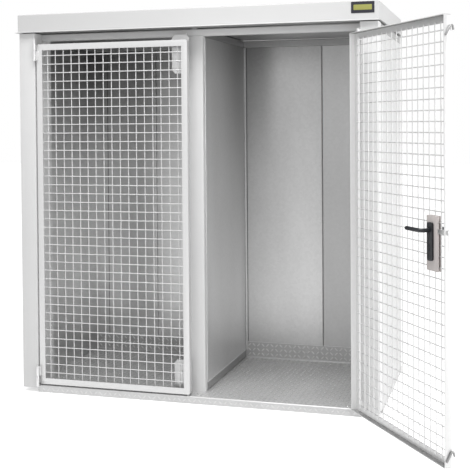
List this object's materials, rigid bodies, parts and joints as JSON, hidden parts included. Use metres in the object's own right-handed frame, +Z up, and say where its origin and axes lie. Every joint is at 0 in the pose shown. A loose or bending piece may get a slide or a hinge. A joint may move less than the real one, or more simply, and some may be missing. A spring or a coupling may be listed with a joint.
{
  "type": "gas cylinder container",
  "caption": "Outdoor storage container for gas cylinders with two bays, sheet steel walls, a tread plate floor, a flat roof and two hinged welded-mesh doors.",
  "frame": {"origin": "on the ground in the middle of the base, on the underside of the floor bearer", "axes": "+X to the right seen from in front, +Y from the doors towards the rear wall, +Z up"},
  "size_m": [2.5504, 1.8382, 2.2083],
  "materials": {
    "galvanised_sheet": "galvanised steel sheet with a fine spangle, satin",
    "pale_grey_coat": "pale grey powder coat over galvanised sheet, satin",
    "tread_plate": "galvanised steel tread plate with raised teardrops",
    "zinc_wire": "galvanised welded wire, satin",
    "zinc_plated_steel": "bright zinc plated steel",
    "lock_grey": "warm light grey painted steel, satin",
    "black_plastic": "black moulded plastic, satin"
  },
  "bodies": {
    "container": {"floor_plate": "tread_plate", "base_rail_left": "galvanised_sheet", "base_rail_right": "galvanised_sheet", "base_rail_back": "galvanised_sheet", "floor_bearer": "galvanised_sheet", "post_front_left": "pale_grey_coat", "post_front_right": "pale_grey_coat", "post_centre": "pale_grey_coat", "lintel": "pale_grey_coat", "door_stop_left": "pale_grey_coat", "door_stop_right": "pale_grey_coat", "back_panel_left": "galvanised_sheet", "back_panel_mid_left": "galvanised_sheet", "back_panel_mid_right": "galvanised_sheet", "back_panel_right": "galvanised_sheet", "side_panel_left": "galvanised_sheet", "side_panel_right": "galvanised_sheet", "partition_base": "galvanised_sheet", "partition": "galvanised_sheet", "corner_strip_left": "galvanised_sheet", "corner_strip_right": "galvanised_sheet", "head_rail_back": "galvanised_sheet", "head_rail_left": "galvanised_sheet", "head_rail_right": "galvanised_sheet", "head_rail_centre": "galvanised_sheet", "roof_pan": "pale_grey_coat", "ceiling": "galvanised_sheet", "left_door_upper_hinge_pin": "zinc_plated_steel", "left_door_lower_hinge_pin": "zinc_plated_steel", "right_door_upper_hinge_pin": "zinc_plated_steel", "right_door_lower_hinge_pin": "zinc_plated_steel"},
    "left_door": {"left_door_frame": "pale_grey_coat", "left_door_mesh_rows": "zinc_wire", "left_door_mesh_columns": "zinc_wire", "left_door_upper_knuckle": "zinc_plated_steel", "left_door_lower_knuckle": "zinc_plated_steel", "left_door_upper_bolt": "pale_grey_coat", "left_door_lower_bolt": "pale_grey_coat"},
    "right_door": {"right_door_frame": "pale_grey_coat", "right_door_mesh_rows": "zinc_wire", "right_door_mesh_columns": "zinc_wire", "right_door_upper_knuckle": "zinc_plated_steel", "right_door_lower_knuckle": "zinc_plated_steel", "lock_case": "lock_grey", "lock_plate_outside": "lock_grey", "escutcheon_inside": "black_plastic", "escutcheon_outside": "black_plastic", "latch_bolt": "zinc_plated_steel", "right_door_upper_hook": "zinc_plated_steel", "right_door_lower_hook": "zinc_plated_steel"},
    "lever": {"lever_inside": "black_plastic", "lever_outside": "black_plastic", "spindle": "zinc_plated_steel"}
  },
  "joints": [
    {"name": "left_door_swing", "type": "hinge", "parent": "container", "child": "left_door", "pos_m": [-0.944, -0.518, 1], "axis": [0, 0, -1], "range_deg": [0, 180]},
    {"name": "right_door_swing", "type": "hinge", "parent": "container", "child": "right_door", "pos_m": [0.944, -0.518, 1], "axis": [0, 0, 1], "range_deg": [-125.4, 54.6]},
    {"name": "lever_turn", "type": "hinge", "parent": "right_door", "child": "lever", "pos_m": [1.40742, -1.1701, 1.082], "axis": [-0.8151, -0.5793, 0], "range_deg": [0, 45], "stiffness_Nm_per_rad": 1, "springref_deg": -28.65}
  ]
}
